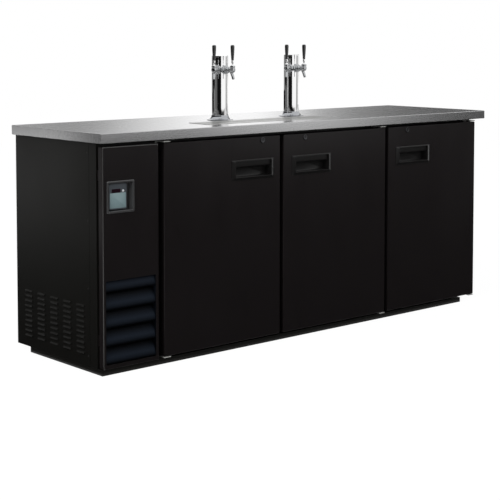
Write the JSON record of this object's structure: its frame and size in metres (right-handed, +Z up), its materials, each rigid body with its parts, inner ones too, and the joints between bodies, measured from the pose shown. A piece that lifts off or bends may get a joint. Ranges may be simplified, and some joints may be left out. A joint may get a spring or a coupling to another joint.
{
  "type": "keg cooler",
  "caption": "Long back-bar keg cooler with insulated swing doors, a louvred machine bay, column beer towers with lever faucets and a drip tray let into the worktop.",
  "frame": {"origin": "on the floor, under the middle of the worktop", "axes": "+X along the front to the right, -Y out of the front, +Z up"},
  "size_m": [2.286, 0.64, 1.263],
  "materials": {
    "black_paint": "satin textured black powder coat",
    "black_trim": "satin black moulding",
    "dark_sheet": "satin dark grey paint",
    "stainless": "fine brushed stainless steel",
    "chrome": "polished",
    "galvanised": "dull zinc coated sheet",
    "liner_sheet": "satin sheet",
    "gasket_rubber": "matt",
    "handle_plastic": "gloss black",
    "controller_plastic": "pale blue-grey moulding",
    "button_plastic": "light grey",
    "aluminium": "mill finish",
    "compressor_paint": "gloss black enamel"
  },
  "bodies": {
    "cabinet": {"plinth": "dark_sheet", "cold_box": "black_paint", "lid_panel": "galvanised", "inner_liner": "liner_sheet", "worktop": "stainless", "machine_frame": "black_paint", "side_panel": "black_paint", "rear_panel": "galvanised", "front_cover": "black_paint", "louvre_grille": "dark_sheet", "window_frame": "black_trim", "controller": "controller_plastic", "condenser": "aluminium", "compressor": "compressor_paint", "evaporator": "aluminium", "drip_pan": "stainless", "door_1_top_hinge": "galvanised", "door_1_bottom_hinge": "galvanised", "door_2_top_hinge": "galvanised", "door_2_bottom_hinge": "galvanised", "door_3_top_hinge": "galvanised", "door_3_bottom_hinge": "galvanised", "tower_1_flange": "chrome", "tower_1_column": "chrome", "tower_1_cap": "chrome", "tower_2_flange": "chrome", "tower_2_column": "chrome", "tower_2_cap": "chrome", "faucet_1_shank": "chrome", "faucet_1_body": "chrome", "faucet_2_shank": "chrome", "faucet_2_body": "chrome", "faucet_3_shank": "chrome", "faucet_3_body": "chrome", "faucet_4_shank": "chrome", "faucet_4_body": "chrome"},
    "left_door": {"door_1": "black_paint", "door_1_gasket": "gasket_rubber", "door_1_handle": "black_trim"},
    "middle_door": {"door_2": "black_paint", "door_2_gasket": "gasket_rubber", "door_2_handle": "black_trim"},
    "right_door": {"door_3": "black_paint", "door_3_gasket": "gasket_rubber", "door_3_handle": "black_trim"},
    "left_lock": {"door_1_lock": "chrome"},
    "middle_lock": {"door_2_lock": "chrome"},
    "right_lock": {"door_3_lock": "chrome"},
    "lever_1": {"faucet_1_lever": "chrome", "faucet_1_handle": "handle_plastic"},
    "lever_2": {"faucet_2_lever": "chrome", "faucet_2_handle": "handle_plastic"},
    "lever_3": {"faucet_3_lever": "chrome", "faucet_3_handle": "handle_plastic"},
    "lever_4": {"faucet_4_lever": "chrome", "faucet_4_handle": "handle_plastic"},
    "button": {"set_button": "button_plastic"},
    "condenser_rotor": {"condenser_fan": "aluminium"},
    "evaporator_rotor": {"evaporator_fan": "aluminium"},
    "grate": {"drip_grate": "stainless"}
  },
  "joints": [
    {"name": "left_door_hinge", "type": "hinge", "parent": "cabinet", "child": "left_door", "pos_m": [-0.807, -0.279, 0.455], "axis": [0, 0, -1], "range_deg": [0, 110]},
    {"name": "middle_door_hinge", "type": "hinge", "parent": "cabinet", "child": "middle_door", "pos_m": [0.433, -0.279, 0.455], "axis": [0, 0, 1], "range_deg": [0, 110]},
    {"name": "right_door_hinge", "type": "hinge", "parent": "cabinet", "child": "right_door", "pos_m": [1.075, -0.279, 0.455], "axis": [0, 0, 1], "range_deg": [0, 110]},
    {"name": "left_lock_turn", "type": "hinge", "parent": "left_door", "child": "left_lock", "pos_m": [-0.305, -0.29, 0.865], "axis": [0, 1, 0], "range_deg": [0, 90]},
    {"name": "middle_lock_turn", "type": "hinge", "parent": "middle_door", "child": "middle_lock", "pos_m": [-0.058, -0.29, 0.865], "axis": [0, 1, 0], "range_deg": [0, 90]},
    {"name": "right_lock_turn", "type": "hinge", "parent": "right_door", "child": "right_lock", "pos_m": [0.599, -0.29, 0.865], "axis": [0, 1, 0], "range_deg": [0, 90]},
    {"name": "faucet_1_pull", "type": "hinge", "parent": "cabinet", "child": "lever_1", "pos_m": [-0.35971, -0.04747, 1.173], "axis": [0.5519, -0.8339, 0], "range_deg": [0, 45]},
    {"name": "faucet_2_pull", "type": "hinge", "parent": "cabinet", "child": "lever_2", "pos_m": [-0.28875, -0.086, 1.173], "axis": [1, -0.0087, 0], "range_deg": [0, 45]},
    {"name": "faucet_3_pull", "type": "hinge", "parent": "cabinet", "child": "lever_3", "pos_m": [0.06629, -0.04747, 1.173], "axis": [0.5519, -0.8339, 0], "range_deg": [0, 45]},
    {"name": "faucet_4_pull", "type": "hinge", "parent": "cabinet", "child": "lever_4", "pos_m": [0.13725, -0.086, 1.173], "axis": [1, -0.0087, 0], "range_deg": [0, 45]},
    {"name": "button_press", "type": "slide", "parent": "cabinet", "child": "button", "axis": [0, 1, 0], "range_m": [0, 0.001], "stiffness_N_per_m": 300, "springref_m": -0.001},
    {"name": "condenser_fan_spin", "type": "hinge", "parent": "cabinet", "child": "condenser_rotor", "pos_m": [-0.9875, -0.17, 0.175], "axis": [0, -1, 0], "continuous": true},
    {"name": "evaporator_fan_spin", "type": "hinge", "parent": "cabinet", "child": "evaporator_rotor", "pos_m": [-0.724, 0.061, 0.6695], "axis": [1, 0, 0], "continuous": true},
    {"name": "grate_lift", "type": "slide", "parent": "cabinet", "child": "grate", "axis": [0, 0, 1], "range_m": [0, 0.12]}
  ]
}
